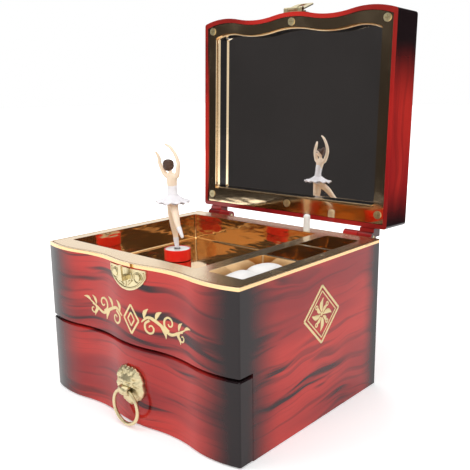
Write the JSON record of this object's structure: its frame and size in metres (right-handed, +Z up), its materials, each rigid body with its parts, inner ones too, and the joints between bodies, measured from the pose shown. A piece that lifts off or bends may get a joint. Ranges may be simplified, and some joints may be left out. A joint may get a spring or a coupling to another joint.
{
  "type": "musical jewellery box",
  "caption": "Serpentine-front musical jewellery box with a mirrored hinged lid, divided gold tray, turning ballerina, lion-mask drawer and hasp catch.",
  "frame": {"origin": "middle of the case width and depth, on the resting face under the base", "axes": "+X to the right of someone facing the drawer, +Y to the hinges at the back, +Z up"},
  "size_m": [0.1676, 0.1945, 0.2597],
  "materials": {
    "wood_grain_plastic": "glossy moulded plastic with a red mahogany grain",
    "gold_plated_plastic": "bright gold vacuum plating",
    "brass_trim": "pale plated brass",
    "mirror": "silvered",
    "white_cushion": "soft napped",
    "red_pedestal": "glossy",
    "white_plastic": "glossy",
    "figure_skin": "painted",
    "white_net": "stiff net",
    "black_plastic": "moulded",
    "red_felt": "flocked",
    "steel": "plated",
    "zinc": "die cast",
    "movement_brass": "machined",
    "nylon": "moulded"
  },
  "bodies": {
    "root": {"case_shell": "wood_grain_plastic", "base_plate": "black_plastic", "base_screws": "steel", "movement_shelf": "black_plastic", "shelf_screws": "steel", "tray_insert": "gold_plated_plastic", "ring_cushion": "white_cushion", "catch_plate": "brass_trim", "catch_rivets": "brass_trim", "hinge_pins": "brass_trim", "movement_bed": "zinc", "movement_screws": "steel", "tone_comb": "steel", "comb_screws": "steel", "turntable_bush": "movement_brass", "lever_bracket": "steel", "plunger_spring": "steel"},
    "lid": {"lid_shell": "wood_grain_plastic", "mirror_frame": "gold_plated_plastic", "mirror": "mirror", "frame_screws": "brass_trim", "hasp_plate": "brass_trim", "hasp_rivets": "brass_trim", "hasp_pin": "brass_trim"},
    "hasp": {"hasp_leaf": "brass_trim"},
    "drawer": {"drawer_front": "wood_grain_plastic", "drawer_tray": "black_plastic", "drawer_lining": "red_felt", "drawer_screws": "steel", "lion_plate": "brass_trim", "lion_screws": "steel"},
    "ring": {"ring_pull": "brass_trim"},
    "barrel": {"spring_barrel": "movement_brass", "mainspring": "steel"},
    "key": {"winding_key": "steel", "winding_arbor": "steel"},
    "cylinder": {"pin_cylinder": "movement_brass", "cylinder_arbor": "movement_brass"},
    "governor": {"governor_fly": "nylon"},
    "turntable": {"crown_wheel": "nylon", "turntable_shaft": "steel", "pedestal_cup": "red_pedestal", "pedestal_disc": "white_plastic"},
    "figure_mount": {"figure_spring": "steel"},
    "figure": {"ballerina": "figure_skin", "tutu": "white_net"},
    "plunger": {"stop_plunger": "white_plastic"},
    "lever": {"stop_lever": "steel"}
  },
  "joints": [
    {"name": "lid_hinge", "type": "hinge", "parent": "root", "child": "lid", "pos_m": [0, 0.077, 0.101], "axis": [1, 0, 0], "range_deg": [0, 91.8]},
    {"name": "hasp_swing", "type": "hinge", "parent": "lid", "child": "hasp", "pos_m": [0, 0.08643, 0.25463], "axis": [1, 0, 0], "range_deg": [0, 158]},
    {"name": "drawer_slide", "type": "slide", "parent": "root", "child": "drawer", "axis": [0, -1, 0], "range_m": [0, 0.1]},
    {"name": "ring_swing", "type": "hinge", "parent": "drawer", "child": "ring", "pos_m": [0, -0.0803, 0.0242], "axis": [-1, 0, 0], "range_deg": [0, 95]},
    {"name": "barrel_spin", "type": "hinge", "parent": "root", "child": "barrel", "pos_m": [-0.02275, 0, 0.068], "axis": [0, 1, 0], "continuous": true},
    {"name": "key_wind", "type": "hinge", "parent": "root", "child": "key", "pos_m": [-0.02275, 0, 0.068], "axis": [0, 1, 0], "continuous": true},
    {"name": "cylinder_spin", "type": "hinge", "parent": "root", "child": "cylinder", "pos_m": [-0.0365, 0, 0.068], "axis": [0, 1, 0], "continuous": true},
    {"name": "governor_spin", "type": "hinge", "parent": "root", "child": "governor", "pos_m": [-0.04164, 0, 0.07413], "axis": [0, 1, 0], "continuous": true},
    {"name": "turntable_spin", "type": "hinge", "parent": "root", "child": "turntable", "pos_m": [-0.0365, 0.001, 0.092], "axis": [0, 0, 1], "continuous": true},
    {"name": "figure_tilt", "type": "hinge", "parent": "root", "child": "figure_mount", "pos_m": [-0.0365, 0.001, 0.092], "axis": [-0.5225, 0.8526, 0], "range_deg": [0, 88], "deforming": ["figure_spring"]},
    {"name": "figure_spin", "type": "hinge", "parent": "figure_mount", "child": "figure", "pos_m": [-0.0365, 0.001, 0.092], "axis": [0, 0, 1], "continuous": true},
    {"name": "plunger_slide", "type": "slide", "parent": "root", "child": "plunger", "axis": [0, 0, -1], "range_m": [0, 0.0109], "deforming": ["plunger_spring"]},
    {"name": "lever_rock", "type": "hinge", "parent": "root", "child": "lever", "pos_m": [-0.004, 0.064, 0.0615], "axis": [0, 1, 0], "range_deg": [0, 4.1]}
  ],
  "couplings": [
    {"joint": "figure_tilt", "follows": "lid_hinge", "ratio": 0.9586},
    {"joint": "plunger_slide", "follows": "lid_hinge", "m_per_rad": 0.0068},
    {"joint": "lever_rock", "follows": "lid_hinge", "ratio": 0.0445},
    {"joint": "cylinder_spin", "follows": "barrel_spin", "ratio": -4},
    {"joint": "governor_spin", "follows": "barrel_spin", "ratio": 12},
    {"joint": "turntable_spin", "follows": "barrel_spin", "ratio": -2},
    {"joint": "figure_spin", "follows": "barrel_spin", "ratio": -2}
  ]
}
